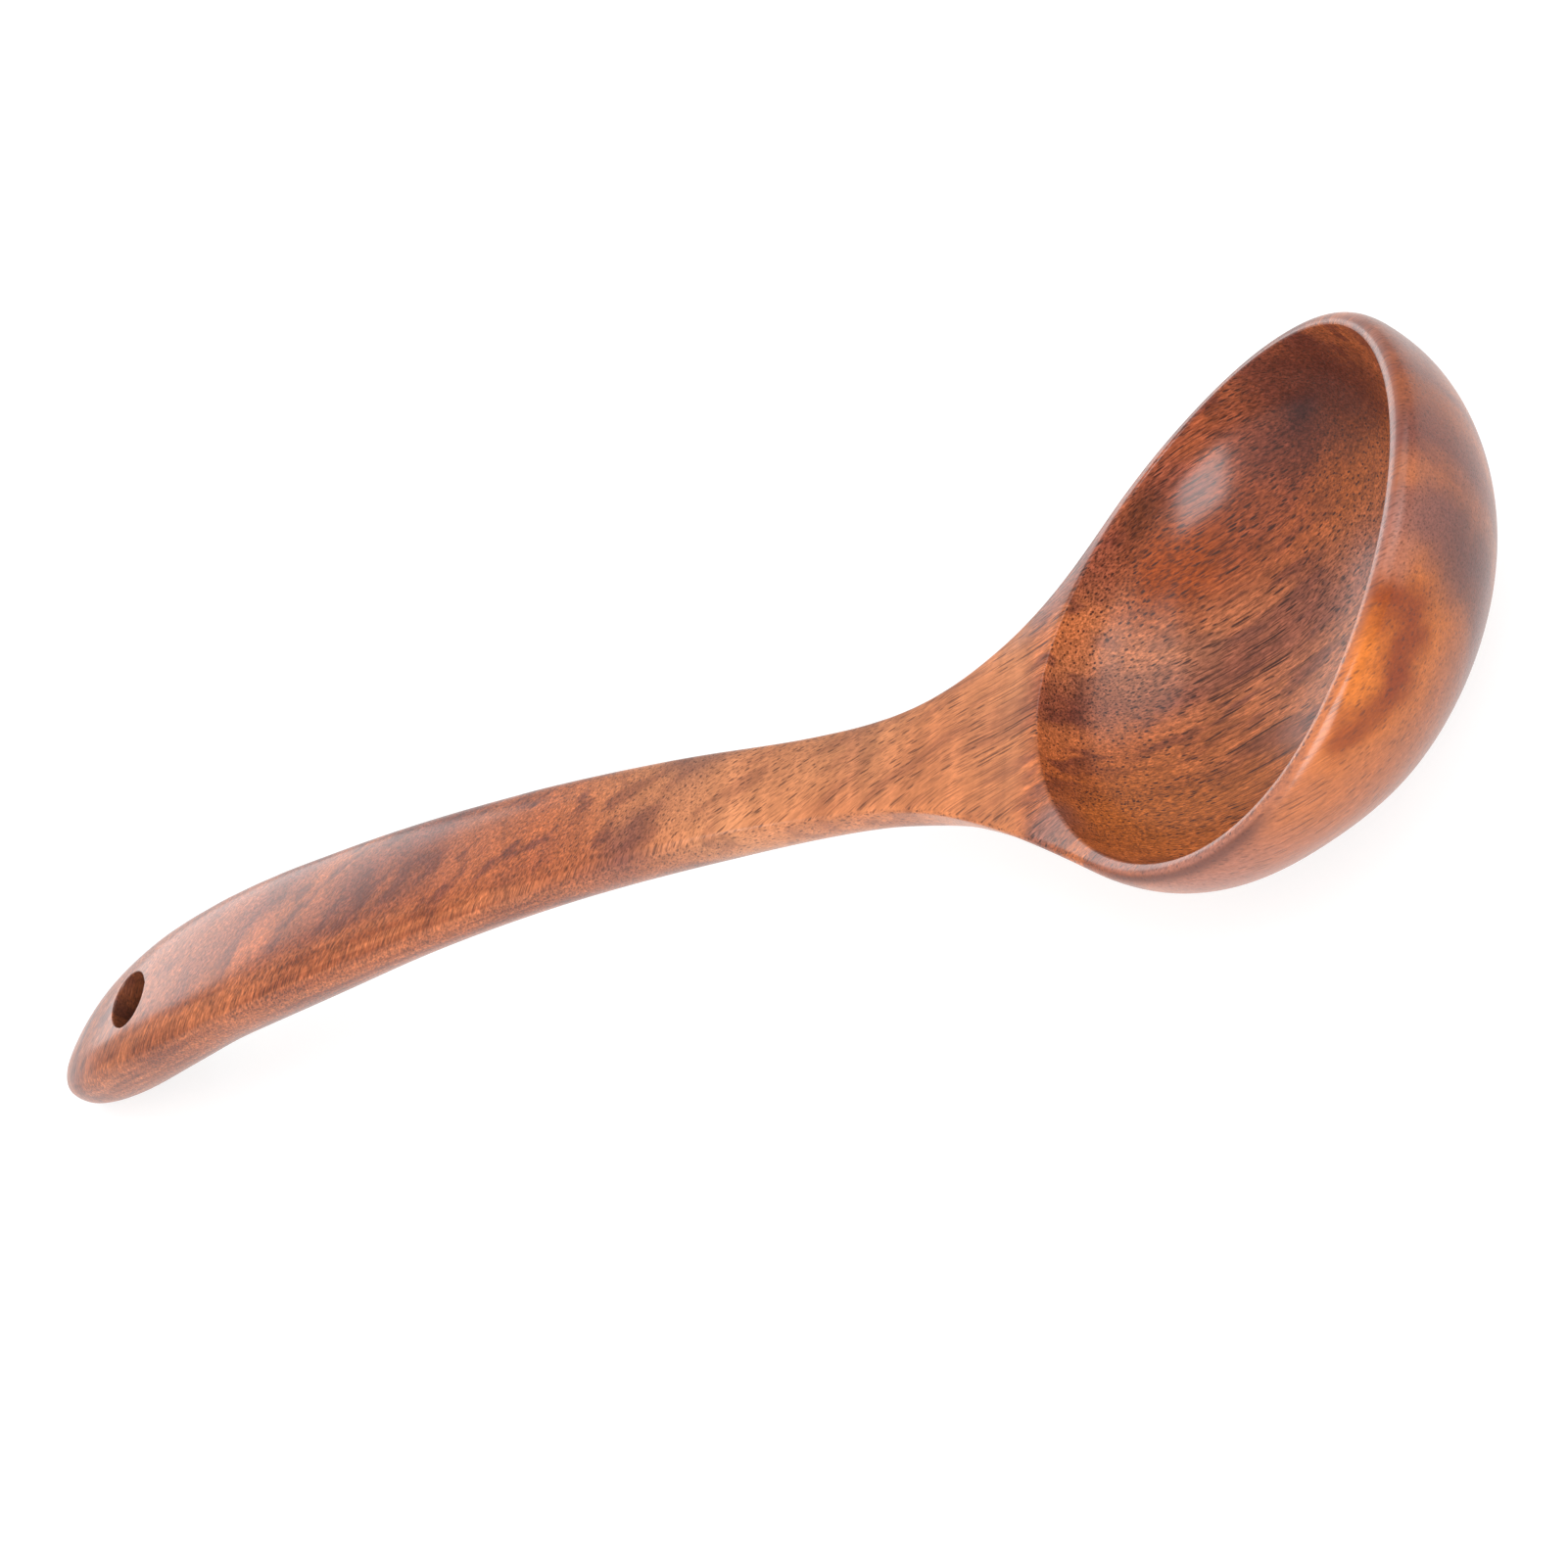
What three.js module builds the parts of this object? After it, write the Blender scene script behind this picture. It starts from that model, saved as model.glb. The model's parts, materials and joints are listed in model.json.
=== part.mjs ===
// Wooden soup ladle carved in one piece: deep round bowl, flared shoulder, arched handle with a hanging hole.
// Carver's frame, millimetres: the bowl's rim is level at z = 0, its tip points to +X and the handle to -X.
import * as THREE from 'three';

// Driving dimensions
const hollow = { halfLength: 44.4, halfWidth: 42, depth: 26.8, power: 2.1 };
const rim = { tipWall: 3.7, sideWall: 2.6, tipRise: 9.6 };
const bowlFloor = 4.8;
const bowlMiddle = 2.5;
const handle = { reach: 248, rise: 63.6, width: 25.2, capLength: 52, neckLength: 31.6 };
const hole = { inset: 32.4, radius: 5.2 };
const edgeDepth = 5.5;
const shoulderAngle = 135;
const topPower = 2.8;

// Number of steps along the outline and across each surface
const steps = { cap: 16, handle: 16, neck: 6, shoulder: 8, bowl: 22, under: 12, top: 7, hollow: 10, wall: 2 };
for (const name in steps) steps[name] = Math.round(steps[name]);

// Sizes and places taken from them
const bowlDepth = hollow.depth + bowlFloor;
const bowl = { halfLength: hollow.halfLength + rim.tipWall, halfWidth: hollow.halfWidth + rim.sideWall };
const shoulder = onEllipse(bowl, THREE.MathUtils.degToRad(shoulderAngle));
const handleEnd = -handle.reach;
const capStart = handleEnd + handle.capLength;
const holeX = handleEnd + hole.inset;
const neck = -hollow.halfLength - handle.neckLength;

// Side profile: height of the top along the middle, and how far the widest line lies below it
const topHeight = through(
  run(handle.reach, handle.rise, [
    [-1, 0.956], [-0.9073, 1], [-0.8065, 0.989], [-0.6653, 0.8695], [-0.5242, 0.6903], [-0.4032, 0.4796],
    [-0.3065, 0.2421],
  ]),
  run(hollow.halfLength, rim.tipRise, [
    [-1.2387, 0.51], [-0.9459, 0.052], [-0.4505, -0.135], [0.2252, 0.135], [1.0856, 1],
  ]),
);
const edgeDrop = through(
  run(handle.reach, edgeDepth, [
    [-1, 1.091], [-0.8065, 0.945], [-0.5242, 0.764], [-0.4032, 0.618], [-0.3065, 0.436],
  ]),
  run(hollow.halfLength, edgeDepth, [
    [-1.2387, 0.327], [-0.7658, 0.364], [-0.1802, 0.818], [0.4505, 1], [1.0878, 0.909],
  ]),
);

// Keel of the underside, from the handle to the middle of the bowl
const keelHeight = through(
  run(handle.reach, handle.rise, [
    [-0.9274, 0.7484], [-0.8669, 0.7531], [-0.8065, 0.7138], [-0.7258, 0.6525], [-0.6452, 0.5943],
    [-0.5242, 0.445], [-0.4032, 0.2201], [-0.3065, 0.0299],
  ]),
  run(hollow.halfLength, bowlDepth, [
    [-1.3514, -0.2437], [-1.0586, -0.4494], [-0.7883, -0.6582], [-0.4505, -0.8861], [-0.2252, -0.9652],
  ]),
  [[bowlMiddle, -bowlDepth]],
);

// Plan outline of the handle and the shoulder: half width along the middle
const halfWidth = through(
  run(handle.reach, handle.width / 2, [
    [-0.7903, 0.992], [-0.746, 1], [-0.6452, 0.952], [-0.5242, 0.833], [-0.4032, 0.683], [-0.3226, 0.651],
  ]),
  run(hollow.halfLength, hollow.halfWidth, [[-1.464, 0.2476], [-1.1712, 0.4143], [-0.9459, 0.5952]]),
  [[shoulder.x, shoulder.y]],
);

// Fullness of the cross-sections: 2 is an ellipse, more is squarer, less is leaner
const underPower = through(
  run(handle.reach, 1, [[-1, 2.6], [-0.8065, 2.3], [-0.4032, 2.5], [-0.3065, 2.4]]),
  run(hollow.halfLength, 1, [
    [-1.2838, 2.15], [-1.036, 1.94], [-0.7658, 1.95], [0, 1.81], [0.4505, 1.99], [1.0878, 2.06],
  ]),
);

// Run of drawn points: each lies at a share of a length along the middle and has a share of a size
function run(length, size, shares) {
  return shares.map(([along, share]) => [along * length, share * size]);
}

// Smooth curve through the points of its runs
function through(...runs) {
  const points = runs.flat();
  const curve = new THREE.CubicInterpolant(points.map((p) => p[0]), points.map((p) => p[1]), 1);
  return (x) => curve.evaluate(x)[0];
}

function onEllipse(size, angle) {
  return new THREE.Vector2(size.halfLength * Math.cos(angle), size.halfWidth * Math.sin(angle));
}

// Quarter of a rounded cross-section: out runs from 1 to 0 while in runs from 0 to 1
function quarter(turn, power) {
  return { out: Math.cos(turn) ** (2 / power), in: Math.sin(turn) ** (2 / power) };
}

function row(count, place) {
  return Array.from({ length: count + 1 }, (unused, i) => place(i / count));
}

// One station: the top runs from the outline to an inner point, the underside from the outline to the keel
function station(edge, inner, keel, cut = 0) {
  const drop = edgeDrop(edge.x);
  const edgeZ = topHeight(edge.x) - drop;
  const surface = (count, power, target, height) => {
    const last = Math.acos(cut ** (power / 2));
    return row(count, (t) => {
      const q = quarter(t * last, power);
      const spread = (Math.max(q.out, cut) - cut) / (1 - cut);
      const plan = target.clone().lerp(edge, t < 1 ? spread : 0);
      return new THREE.Vector3(plan.x, plan.y, height(plan.x, q.in));
    });
  };
  const sink = (x, rise) => {
    const keelZ = THREE.MathUtils.lerp(keelHeight(keel.x), keelHeight(x), rise ** 5);
    return edgeZ - (edgeZ - keelZ) * rise;
  };
  const lift = (x, rise) => (rise > 0 ? topHeight(x) - drop * (1 - rise) : edgeZ);
  return {
    top: surface(steps.top, topPower, inner, lift),
    under: surface(steps.under, underPower(edge.x), keel, sink),
  };
}

const onMiddle = (x) => new THREE.Vector2(x, 0);
const stations = [];

// Rounded end of the handle, fanned round the hanging hole
const capWidth = halfWidth(capStart);
const lastAim = Math.atan2(capWidth, capStart - holeX);
for (let i = 0; i <= steps.cap; i++) {
  const turn = (i / steps.cap) * Math.PI / 2;
  const reach = (capStart - handleEnd) * Math.cos(turn);
  const edge = new THREE.Vector2(capStart - reach, capWidth * Math.sin(turn));
  const aim = Math.PI * (Math.atan2(edge.y, edge.x - holeX) - lastAim) / (Math.PI - lastAim);
  const spin = (aim + Math.PI - 2 * turn) / 2;
  const lip = new THREE.Vector2(holeX + hole.radius * Math.cos(spin), hole.radius * Math.sin(spin));
  if (i === 0 || i === steps.cap) lip.y = 0;
  if (i === 0) edge.y = 0;
  const made = station(edge, lip, lip, lip.y / capWidth);
  const from = made.under.at(-1);
  const to = made.top.at(-1);
  made.wall = row(steps.wall, (t) => from.clone().lerp(to, t));
  stations.push(made);
}

// Handle, from the hole to the neck
const holeSide = holeX + hole.radius;
for (let i = 1; i <= steps.handle; i++) {
  const t = i / steps.handle;
  const edgeX = THREE.MathUtils.lerp(capStart, neck, t);
  const middle = onMiddle(THREE.MathUtils.lerp(holeSide, neck, t));
  stations.push(station(new THREE.Vector2(edgeX, halfWidth(edgeX)), middle, middle));
}

// Shoulder: the outline flares out to the bowl while the top meets the hollow's rim
const back = onMiddle(-hollow.halfLength);
const flare = steps.neck + steps.shoulder;
for (let i = 1; i <= flare; i++) {
  const t = i / flare;
  const edgeX = THREE.MathUtils.lerp(neck, shoulder.x, t);
  const edge = i < flare ? new THREE.Vector2(edgeX, halfWidth(edgeX)) : shoulder;
  const along = Math.max(0, i - steps.neck) / steps.shoulder;
  const angle = THREE.MathUtils.degToRad(THREE.MathUtils.lerp(180, shoulderAngle, along));
  const inner = i > steps.neck ? onEllipse(hollow, angle) : onMiddle(neck).lerp(back, i / steps.neck);
  const made = station(edge, inner, onMiddle(THREE.MathUtils.lerp(neck, bowlMiddle, t)));
  if (i >= steps.neck) made.hollow = hollowFrom(inner);
  stations.push(made);
}

// Bowl, from the shoulder round to the tip
for (let i = 1; i <= steps.bowl; i++) {
  const angle = THREE.MathUtils.degToRad(shoulderAngle * (1 - i / steps.bowl));
  const inner = onEllipse(hollow, angle);
  const made = station(onEllipse(bowl, angle), inner, onMiddle(bowlMiddle));
  made.hollow = hollowFrom(inner);
  stations.push(made);
}

function hollowFrom(lip) {
  const lipZ = topHeight(lip.x);
  return row(steps.hollow, (t) => {
    const q = quarter(t * Math.PI / 2, hollow.power);
    const out = t < 1 ? q.out : 0;
    return new THREE.Vector3(lip.x * out, lip.y * out, lipZ - (lipZ + hollow.depth) * q.in);
  });
}

// Skin over the stations, and its mirror image on the other side of the middle
const corners = [];
const known = new Map();
const faces = [];

function corner(p, side) {
  const key = [p.x, p.y * side, p.z].map((v) => Math.round(v * 1e4)).join();
  if (!known.has(key)) {
    known.set(key, corners.length / 3);
    corners.push(p.x, p.y * side, p.z);
  }
  return known.get(key);
}

function face(a, b, c) {
  const left = [a, b, c].map((p) => corner(p, 1));
  const right = [a, c, b].map((p) => corner(p, -1));
  for (const ids of [left, right]) {
    if (new Set(ids).size === 3) faces.push(...ids);
  }
}

function skin(first, second, turned) {
  for (let i = 0; i + 1 < first.length; i++) {
    const quad = [first[i], first[i + 1], second[i + 1], second[i]];
    if (turned) quad.reverse();
    face(quad[0], quad[1], quad[2]);
    face(quad[0], quad[2], quad[3]);
  }
}

stations.slice(1).forEach((next, i) => {
  const last = stations[i];
  skin(last.under, next.under, true);
  skin(last.top, next.top, false);
  if (last.wall && next.wall) skin(last.wall, next.wall, true);
  if (last.hollow && next.hollow) skin(last.hollow, next.hollow, false);
});

const shape = new THREE.BufferGeometry();
shape.setAttribute('position', new THREE.Float32BufferAttribute(corners, 3));
shape.setIndex(faces);
shape.computeVertexNormals();

// Lying on a table: pitched back until the bowl and the end of the handle both touch it
function lowest(pitch, test) {
  let low = Infinity;
  for (let i = 0; i < corners.length; i += 3) {
    if (test(corners[i])) low = Math.min(low, corners[i + 2] * Math.cos(pitch) + corners[i] * Math.sin(pitch));
  }
  return low;
}

let level = 0;
let steep = Math.PI / 4;
for (let i = 0; i < 50; i++) {
  const pitch = (level + steep) / 2;
  const handleLow = lowest(pitch, (x) => x < neck);
  if (handleLow > lowest(pitch, (x) => x > neck)) level = pitch;
  else steep = pitch;
}

const wood = new THREE.MeshStandardMaterial({ name: 'wood', color: '#a5654a', roughness: 0.42, metalness: 0 });
const ladle = new THREE.Mesh(shape, wood);
ladle.name = 'carved_ladle';

const lying = new THREE.Group();
lying.rotation.y = -level;
lying.add(ladle);

const part = new THREE.Group();
part.name = 'wooden_soup_ladle';
part.add(lying);
part.updateMatrixWorld(true);
const box = new THREE.Box3().setFromObject(part, true);
lying.position.set(-(box.min.x + box.max.x) / 2, 0, -box.min.z);

export default part;
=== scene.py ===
import bpy, json, math
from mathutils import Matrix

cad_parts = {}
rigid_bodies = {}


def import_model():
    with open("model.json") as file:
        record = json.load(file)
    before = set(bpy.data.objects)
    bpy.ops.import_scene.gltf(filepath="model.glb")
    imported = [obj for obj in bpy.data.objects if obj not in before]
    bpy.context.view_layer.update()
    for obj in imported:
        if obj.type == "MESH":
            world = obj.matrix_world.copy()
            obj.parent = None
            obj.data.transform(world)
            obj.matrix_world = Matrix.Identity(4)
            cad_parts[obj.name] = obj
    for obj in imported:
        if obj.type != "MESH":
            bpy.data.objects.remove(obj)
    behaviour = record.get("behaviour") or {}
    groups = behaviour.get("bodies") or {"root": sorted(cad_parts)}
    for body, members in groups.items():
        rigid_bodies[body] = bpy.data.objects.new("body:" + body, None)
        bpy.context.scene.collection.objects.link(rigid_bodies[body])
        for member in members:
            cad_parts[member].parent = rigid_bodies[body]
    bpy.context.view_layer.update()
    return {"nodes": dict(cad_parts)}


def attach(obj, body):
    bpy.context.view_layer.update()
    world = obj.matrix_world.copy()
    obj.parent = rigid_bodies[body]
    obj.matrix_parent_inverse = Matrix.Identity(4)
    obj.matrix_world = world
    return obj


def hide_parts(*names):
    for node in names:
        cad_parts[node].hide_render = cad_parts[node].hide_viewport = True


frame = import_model()

# Carved ladle: one billet of reddish-brown open-pored wood, sawn, carved and sanded to shape,
# then lacquered to a satin sheen. Nothing is fixed to it, and the hole in the handle is bare wood.
# The mesh is a copy of the solid with its edges eased and its facets rounded.
weld_distance = 1e-6
flat_turn = math.radians(70)
sharp_turn = math.radians(42)
eased_edge = 0.0004
bpy.ops.object.select_all(action="DESELECT")
node = frame["nodes"]["carved_ladle"]
node.select_set(True)
bpy.context.view_layer.objects.active = node
bpy.ops.object.duplicate()
ladle = bpy.context.active_object
ladle.name = ladle.data.name = "carved_ladle_wood"
bpy.ops.object.parent_clear(type="CLEAR_KEEP_TRANSFORM")
bpy.ops.object.mode_set(mode="EDIT")
bpy.ops.mesh.select_all(action="SELECT")
bpy.ops.mesh.remove_doubles(threshold=weld_distance)
bpy.ops.mesh.tris_convert_to_quads(face_threshold=flat_turn, shape_threshold=flat_turn)
bpy.ops.mesh.select_all(action="DESELECT")
bpy.ops.mesh.edges_select_sharp(sharpness=sharp_turn)
bpy.ops.mesh.bevel(offset=eased_edge, segments=3, affect="EDGES")
bpy.ops.object.mode_set(mode="OBJECT")
fine = ladle.modifiers.new("Fine", "SUBSURF")
fine.levels = fine.render_levels = 2
bpy.ops.object.modifier_apply(modifier="Fine")
bpy.ops.object.shade_smooth()

wood = bpy.data.materials.new("lacquered_wood")
wood.use_nodes = True
tree = wood.node_tree

def put(kind, inputs={}, **settings):
    made = tree.nodes.new("ShaderNode" + kind)
    for key, value in settings.items():
        setattr(made, key, value)
    for key, value in inputs.items():
        if isinstance(value, bpy.types.NodeSocket):
            tree.links.new(value, made.inputs[key])
        else:
            made.inputs[key].default_value = value
    return made

def calc(operation, a, b=0.0, c=0.0, clamp=False):
    return put("Math", {0: a, 1: b, 2: c}, operation=operation, use_clamp=clamp).outputs[0]

def times(a, b):
    return calc("MULTIPLY", a, b)

def plus(a, b):
    return calc("ADD", a, b)

def squared(value, size):
    return calc("POWER", calc("DIVIDE", value, size), 2)

def spread(value, low, high, to_low=0.0, to_high=1.0):
    ends = {0: value, 1: low, 2: high, 3: to_low, 4: to_high}
    return put("MapRange", ends, interpolation_type="SMOOTHSTEP").outputs[0]

def point(along, over, up=0.0):
    return put("CombineXYZ", {0: along, 1: over, 2: up}).outputs[0]

def noise(vector, scale, detail=2.0, rough=0.5):
    inputs = {"Vector": vector, "Scale": scale, "Detail": detail, "Roughness": rough}
    return put("TexNoise", inputs).outputs["Fac"]

def shifted(vector, scale, detail, distance):
    drift = put("TexNoise", {"Vector": carved, "Scale": scale, "Detail": detail}).outputs["Color"]
    drift = put("VectorMath", {0: drift, "Scale": distance}, operation="SCALE").outputs[0]
    return put("VectorMath", {0: vector, 1: drift}).outputs[0]

def vessel_distance(vector, scale):
    return put("TexVoronoi", {"Vector": vector, "Scale": scale}, voronoi_dimensions="2D").outputs["Distance"]

def blend(amount, a, b, kind="MIX"):
    return put("Mix", {0: amount, 6: a, 7: b}, data_type="RGBA", blend_type=kind).outputs[2]

def steps(value, stops, kind="EASE"):
    made = put("ValToRGB", {0: value})
    ramp = made.color_ramp
    ramp.interpolation = kind
    while len(ramp.elements) < len(stops):
        ramp.elements.new(0.5)
    for element, (position, grey) in zip(ramp.elements, stops):
        element.position = position
        element.color = (grey, grey, grey, 1)
    return made.outputs[0]

# The wood is laid out in the carver's frame: millimetres, rim level, x to the tip, zero mid-hollow
carver_place = (-108.483, 0, 2.914)
carver_pitch = 0.336134
millimetres = 1000
carved = put("Mapping", {"Vector": put("TexCoord").outputs["Object"], "Location": carver_place,
                         "Rotation": (0, carver_pitch, 0), "Scale": (millimetres,) * 3}).outputs[0]
axes = put("SeparateXYZ", {0: carved}).outputs
x, y, z = axes[0], axes[1], axes[2]

# The grain leans across the billet, more in the handle than in the bowl, and turns up along the handle
bowl_lean = 0.287
handle_lean = 0.29
lean = plus(times(x, bowl_lean), times(calc("MINIMUM", plus(x, 60), 0), handle_lean))
across = times(calc("SUBTRACT", y, lean), 0.96)
rise = times(calc("MINIMUM", plus(x, 95), 0), -0.65)
depth = plus(calc("MULTIPLY_ADD", x, 0.3, z), rise)
cloud = noise(carved, 0.026, 2)
ring = plus(across, times(calc("SUBTRACT", noise(carved, 0.05, 4, 0.55), 0.5), 9))

# Parts of the ladle: neck, handle, and the outside of the bowl beyond the hollow
hollow_length = 44.4
hollow_width = 42
mask_depth = 27.5
on_neck = times(spread(x, -125, -92), spread(x, -43, -49))
on_handle = spread(x, -100, -140)
sunk = squared(calc("MINIMUM", z, 0), mask_depth)
plan = plus(squared(x, hollow_length), squared(y, hollow_width))
outside = times(spread(plus(plan, sunk), 1.03, 1.09), spread(x, -40, -25))

# Dark growth bands, at the places where they cross the bowl, its tip and the handle
first_ring = 60
ring_span = 180
band = steps(calc("DIVIDE", plus(ring, first_ring), ring_span), [
    (0, 0.05), (0.13, 0.1), (0.165, 0.3), (0.185, 0.95), (0.205, 0.8), (0.228, 0.2), (0.245, 0.35),
    (0.258, 0.9), (0.275, 0.7), (0.295, 0.15), (0.312, 0.3), (0.326, 0.85), (0.345, 0.1), (0.39, 0.15),
    (0.42, 0.9), (0.44, 0.85), (0.462, 0.2), (0.485, 0.1), (0.515, 0.85), (0.55, 0.95), (0.58, 0.45),
    (0.62, 0.1), (0.68, 0.3), (0.73, 0.9), (0.75, 0.7), (0.78, 0.1), (0.825, 0.8), (0.85, 0.3), (1, 0.3)])
band = times(band, calc("SUBTRACT", 1, times(on_neck, 0.8)))
band = times(band, spread(noise(carved, 0.07, 3), 0.28, 0.6, 0.65, 1.0))

# Colour: tan to orange to red-brown, with purple-brown in the bands and dark flames along the grain
orange_wood = (0.56, 0.14, 0.034, 1)
tan_wood = (0.6, 0.235, 0.1, 1)
handle_wood = (0.44, 0.117, 0.045, 1)
band_wood = (0.19, 0.046, 0.033, 1)
flame_wood = (0.15, 0.038, 0.026, 1)
fibre = noise(point(times(x, 0.06), across, depth), 1.7, 4, 0.6)
tan = calc("MULTIPLY_ADD", on_neck, 0.6, spread(cloud, 0.35, 0.7, 0.0, 0.4), clamp=True)
colour = blend(tan, orange_wood, tan_wood)
colour = blend(times(on_handle, 0.65), colour, handle_wood)
colour = blend(times(band, 0.88), colour, band_wood)
flame = noise(point(times(x, 0.1), times(across, 0.35), times(depth, 0.2)), 0.9, 3, 0.45)
flame_depth = calc("MULTIPLY_ADD", on_neck, -0.45, calc("MULTIPLY_ADD", outside, -0.5, 0.78))
colour = blend(times(spread(flame, 0.49, 0.63), flame_depth), colour, flame_wood)
figure = noise(point(times(x, 0.5), times(across, 0.08), z), 0.5, 3)
figure_shade = steps(figure, [(0.3, 0.8), (0.55, 1), (0.75, 1.2)], "LINEAR")
colour = blend(1.0, colour, figure_shade, "MULTIPLY")

# Patches of other colour, drawn out along the grain: place along, across and up, reach, colour, strength
patches = [
    # Near outside of the bowl: tan ground, dark orange patch with a darker ring, greyer wall by the neck
    (20, -44, -7, 22, (0.41, 0.137, 0.06), 0.75),
    (36, -38, 3, 14, (0.58, 0.15, 0.016), 0.9),
    (41, -34, 5, 3.8, (0.21, 0.03, 0.004), 0.95),
    (39.5, -35.5, 0, 4.6, (0.21, 0.03, 0.004), 0.95),
    (34, -39.5, -3, 4.6, (0.21, 0.03, 0.004), 0.95),
    (27, -43, -1, 3.5, (0.25, 0.045, 0.006), 0.9),
    (-10, -39, -4, 11, (0.34, 0.13, 0.09), 0.7),
    # Tip of the bowl, outside
    (47, -5.5, 5, 9, (0.3, 0.075, 0.026), 0.85),
    # Hollow: orange foot by the neck, a pale mauve sheen painted on the wall beside it, dark far wall with a
    # small spot
    (-33, -8, -14, 16, (0.52, 0.14, 0.022), 0.8),
    (-30, 24, -12, 12, (0.5, 0.2, 0.1), 0.5),
    (-13, 32, -18, 12, (0.3, 0.07, 0.025), 0.6),
    (10, 24, -19, 10, (0.4, 0.1, 0.018), 0.7),
    (9, 35, -8, 12, (0.13, 0.035, 0.022), 0.75),
    (16, 31, -9, 12, (0.085, 0.02, 0.013), 0.85),
    (6, 36, -10, 3, (0.05, 0.016, 0.016), 0.7),
    # Handle: dark spots along its top and edges, reddish end
    (-132, 46, 40, 5, (0.16, 0.05, 0.035), 0.7),
    (-111, 37, 33, 5, (0.16, 0.055, 0.045), 0.7),
    (-149, 63, 50, 6, (0.18, 0.05, 0.03), 0.6),
    (-97, 44, 27, 6, (0.2, 0.08, 0.06), 0.6),
    (-194, 94, 62, 10, (0.4, 0.11, 0.05), 0.6),
    # Edge of the hollow at the shoulder
    (-41, -8, 0, 5, (0.2, 0.08, 0.065), 0.7),
    # Dark band round the tip of the bowl, outside, with a greyish sheen painted by the rim and at the lower
    # edge
    (44, -25, -5, 8, (0.14, 0.055, 0.05), 0.75),
    (45, -28, 8, 6, (0.3, 0.13, 0.11), 0.6),
    (48, -13, 5, 8, (0.18, 0.06, 0.05), 0.65),
    (43, 7, 3, 10, (0.17, 0.06, 0.05), 0.65),
    (46, -25, 2, 5, (0.2, 0.075, 0.065), 0.7),
    (41, -22, -12, 7, (0.15, 0.055, 0.05), 0.7),
    (46, -12, -6, 7, (0.2, 0.075, 0.065), 0.6),
    (33, -25, -19, 7, (0.3, 0.13, 0.11), 0.5),
    # Hollow again: painted light, a paler patch that brightens the floor; dark orange patch on the far wall
    # by the neck
    (-2, 10, -24, 15, (0.62, 0.26, 0.17), 0.18),
    (-28, 32.5, -13, 9, (0.3, 0.055, 0.006), 0.95),
    (-28, 38, -5, 4, (0.1, 0.03, 0.015), 0.8)]
drawn_out = 0.55
wander = 9
patch_place = shifted(point(times(x, drawn_out), across, z), 0.1, 3.0, wander)
for along, over, up, reach, tone, strength in patches:
    middle = (along * drawn_out + wander / 2, over + wander / 2, up + wander / 2)
    away = put("VectorMath", {0: patch_place, 1: middle}, operation="DISTANCE").outputs["Value"]
    colour = blend(spread(away, reach * 1.35, reach * 0.25, 0, strength), colour, (*tone, 1))

# Streaks along the near side of the handle follow its arch
dark_streak = (0.25, 0.062, 0.022, 1)
light_streak = (0.5, 0.15, 0.055, 1)
from_neck = plus(x, 100)
arch = calc("MULTIPLY_ADD", from_neck, -0.3815, times(times(from_neck, plus(x, 165)), -0.001892))
below = calc("SUBTRACT", calc("SUBTRACT", z, 30.5), arch)
streak = noise(point(times(x, 0.05), times(y, 0.4), below), 0.9, 4)
on_side = times(spread(y, -5.5, -9.5), spread(x, -95, -130))
streaks = blend(spread(streak, 0.35, 0.65), dark_streak, light_streak)
colour = blend(times(on_side, 0.7), colour, streaks)

# Fine fibres and flecks, quieter on the neck and outside the bowl
quiet = calc("MULTIPLY_ADD", calc("MAXIMUM", outside, on_neck), -0.6, 1)
fibre_shade = steps(fibre, [(0.27, 0.5), (0.5, 0.95), (0.74, 1.38)], "LINEAR")
colour = blend(quiet, colour, fibre_shade, "MULTIPLY")
fleck = noise(point(times(x, 0.3), across, depth), 3.0, 2, 0.6)
fleck_shade = steps(fleck, [(0.3, 0.6), (0.5, 1), (0.7, 1.38)], "LINEAR")
colour = blend(quiet, colour, fleck_shade, "MULTIPLY")

# Pores: long vessels along the grain, cut to dashes or dots by the carved surface
pore_dark = (0.055, 0.018, 0.012, 1)
vessels = shifted(point(across, depth), 0.06, 1.0, 2.4)
gaps = noise(point(times(x, 0.34), across, depth), 0.9, 1)
pore = times(spread(vessel_distance(vessels, 1.05), 0.23, 0.12), spread(gaps, 0.43, 0.53))
shallow = calc("MAXIMUM", on_handle, on_side)
pore_depth = calc("MULTIPLY_ADD", shallow, -0.5, calc("MULTIPLY_ADD", band, 0.1, 0.9))
pore = times(pore, calc("MULTIPLY_ADD", on_neck, -0.2, pore_depth))
speck = spread(vessel_distance(vessels, 2.1), 0.3, 0.15)
speck = times(speck, calc("MULTIPLY_ADD", band, 0.45, 0.35))
pores = times(calc("MAXIMUM", pore, speck), calc("MULTIPLY_ADD", outside, -0.45, 1))
colour = blend(pores, colour, pore_dark)

# Painted sheen: the top of the rim is painted paler and greyer, standing in for the reflection of the bright
# surround on it
rim_sheen_grey = (0.36, 0.19, 0.17, 1)
rim_sheen_mask = times(spread(plan, 1.0, 1.02), spread(plan, 1.12, 1.07))
rim_sheen_mask = times(rim_sheen_mask, times(spread(z, -3.5, -2), spread(x, -36, -25)))
colour = blend(times(rim_sheen_mask, 0.25), colour, rim_sheen_grey)

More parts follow.
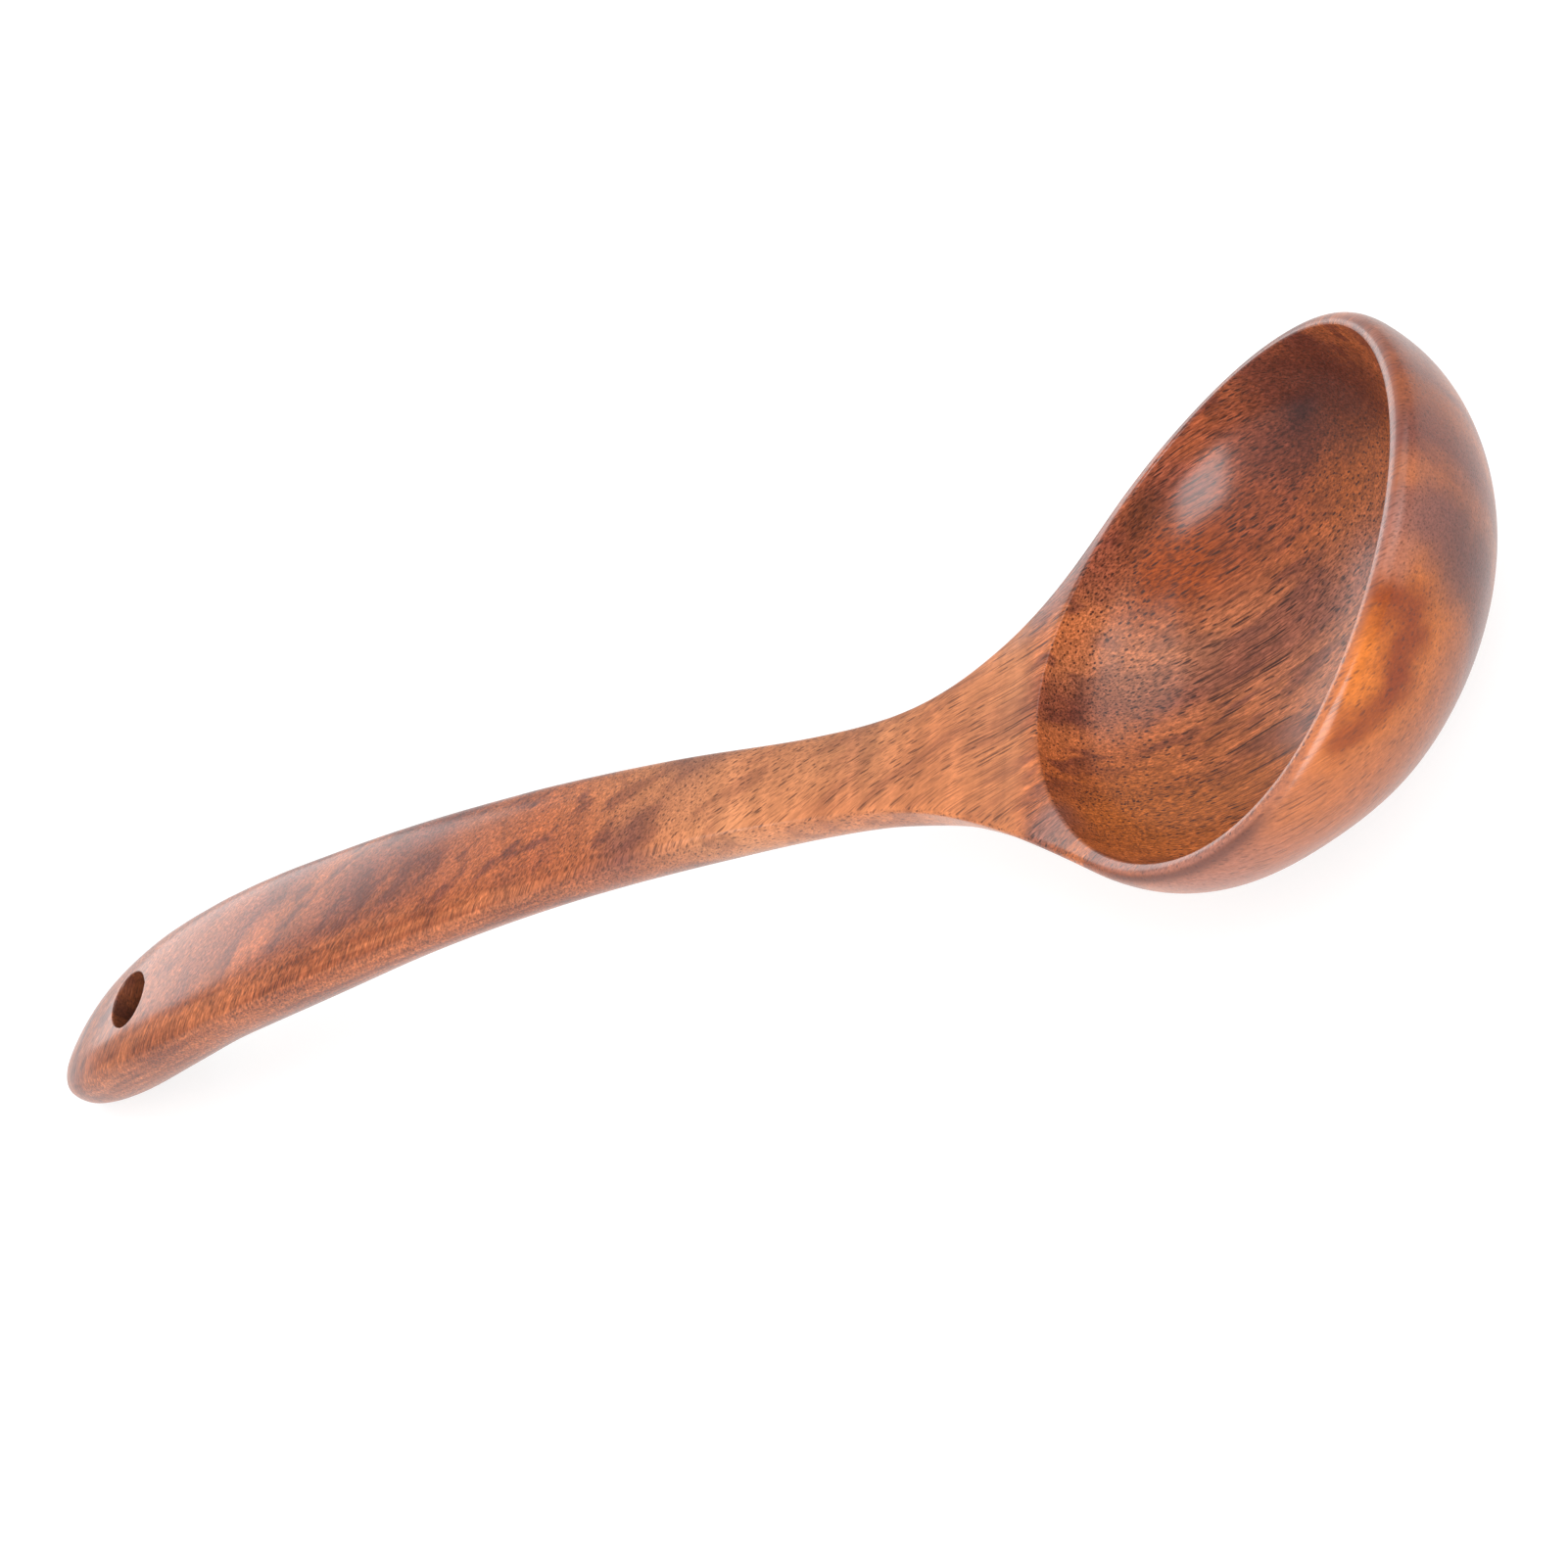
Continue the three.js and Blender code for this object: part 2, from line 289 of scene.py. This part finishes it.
# A dark reflection is painted as a line along the near side of the rim's outer edge
painted_dark_reflection = (0.09, 0.026, 0.018, 1)
bowl_length = 48.1
bowl_width = 44.6
outer_plan = calc("SQRT", plus(squared(x, bowl_length), squared(y, bowl_width)))
rim_reflection_line = times(spread(outer_plan, 0.97, 0.984), spread(outer_plan, 1.0, 0.988))
rim_reflection_line = times(rim_reflection_line, times(spread(x, -36, -24), spread(x, 16, 2)))
rim_reflection_line = times(rim_reflection_line, times(spread(y, -30, -36), spread(z, -5, -3)))
colour = blend(times(rim_reflection_line, 0.75), colour, painted_dark_reflection)

# The wall of the hanging hole is coloured darker
hole_dark = (0.05, 0.02, 0.012, 1)
hole_from_bowl = 215.6
hole_radius = 5.2
from_hole = calc("SQRT", plus(calc("POWER", plus(x, hole_from_bowl), 2), calc("POWER", y, 2)))
colour = blend(spread(from_hole, hole_radius + 0.3, hole_radius, 0, 0.6), colour, hole_dark)

# Satin lacquer over the wood, sunk a little into the pores
surface = tree.nodes["Principled BSDF"]
tree.links.new(colour, surface.inputs["Base Color"])
surface.inputs["Roughness"].default_value = 0.46
surface.inputs["Specular IOR Level"].default_value = 0.1
surface.inputs["Coat Weight"].default_value = 0.65
surface.inputs["Coat Roughness"].default_value = 0.22
relief = put("Bump", {"Strength": 0.35, "Distance": 0.0002, "Height": calc("SUBTRACT", fibre, pores)})
tree.links.new(relief.outputs[0], surface.inputs["Normal"])
ladle.data.materials.clear()
ladle.data.materials.append(wood)
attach(ladle, "root")
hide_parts("carved_ladle")

# Floor: a plain studio table under the ladle, in matt grey that the camera and the lacquer see
# as white paper, while the light that it throws back on the wood stays that of the grey.
floor_grey = (0.4, 0.4, 0.4, 1)
floor_glow = 0.7
bpy.ops.mesh.primitive_plane_add(size=8)
floor = bpy.context.active_object
floor.name = "floor"
pale = bpy.data.materials.new("pale_floor")
pale.use_nodes = True
paper = pale.node_tree.nodes["Principled BSDF"]
paper.inputs["Base Color"].default_value = floor_grey
paper.inputs["Roughness"].default_value = 0.9
paper.inputs["Specular IOR Level"].default_value = 0
paper.inputs["Emission Color"].default_value = (1, 1, 1, 1)
rays = pale.node_tree.nodes.new("ShaderNodeLightPath")
seen = rays.outputs["Is Camera Ray"]
for ray in ("Is Glossy Ray", "Is Transmission Ray"):
    either = pale.node_tree.nodes.new("ShaderNodeMath")
    either.operation = "MAXIMUM"
    pale.node_tree.links.new(seen, either.inputs[0])
    pale.node_tree.links.new(rays.outputs[ray], either.inputs[1])
    seen = either.outputs[0]
glow = pale.node_tree.nodes.new("ShaderNodeMath")
glow.operation = "MULTIPLY"
glow.inputs[1].default_value = floor_glow
pale.node_tree.links.new(seen, glow.inputs[0])
pale.node_tree.links.new(glow.outputs[0], paper.inputs["Emission Strength"])
floor.data.materials.append(pale)

# Studio light: a white surround and four soft boxes, behind the handle, over the bowl, at the front
# and past the tip. The front box makes the sheen on the far wall of the hollow.
surround = 0.65
world = bpy.data.worlds.new("studio")
bpy.context.scene.world = world
world.use_nodes = True
sky = world.node_tree.nodes["Background"]
sky.inputs["Color"].default_value = (1, 1, 1, 1)
sky.inputs["Strength"].default_value = surround
for name, spot, turn, width, height, energy in [
        ("back_box", (-0.9, 0.65, 0.35), (73, 0, 233), 0.7, 0.7, 5),
        ("over_box", (0.6, 0.15, 0.9), (32.6, 0, 107.2), 1.0, 1.0, 4.8),
        ("front_box", (0.06, -0.9, 0.36), (70, 0, 2), 0.45, 0.68, 8),
        ("tip_box", (0.99, -0.18, 0.67), (55.4, 0, 77.8), 0.6, 0.6, 1.6)]:
    bpy.ops.object.light_add(type="AREA", location=spot, rotation=[math.radians(angle) for angle in turn])
    box = bpy.context.active_object
    box.name = name
    box.data.shape = "RECTANGLE"
    box.data.size = width
    box.data.size_y = height
    box.data.energy = energy

# Camera at the photograph's viewing angle, high in front of the tip and looking down on the bowl,
# with a long lens on a full-frame sensor.
camera_place = (0.40986, -0.44364, 0.55932)
camera_turn = [math.radians(angle) for angle in (36.1929, 33.7914, 4.3345)]
bpy.ops.object.camera_add(location=camera_place, rotation=camera_turn)
camera = bpy.context.active_object
camera.data.sensor_width = 36
camera.data.lens = 115.29
camera.data.clip_start = 0.01
bpy.context.scene.camera = camera
bpy.context.scene.view_settings.view_transform = "Standard"
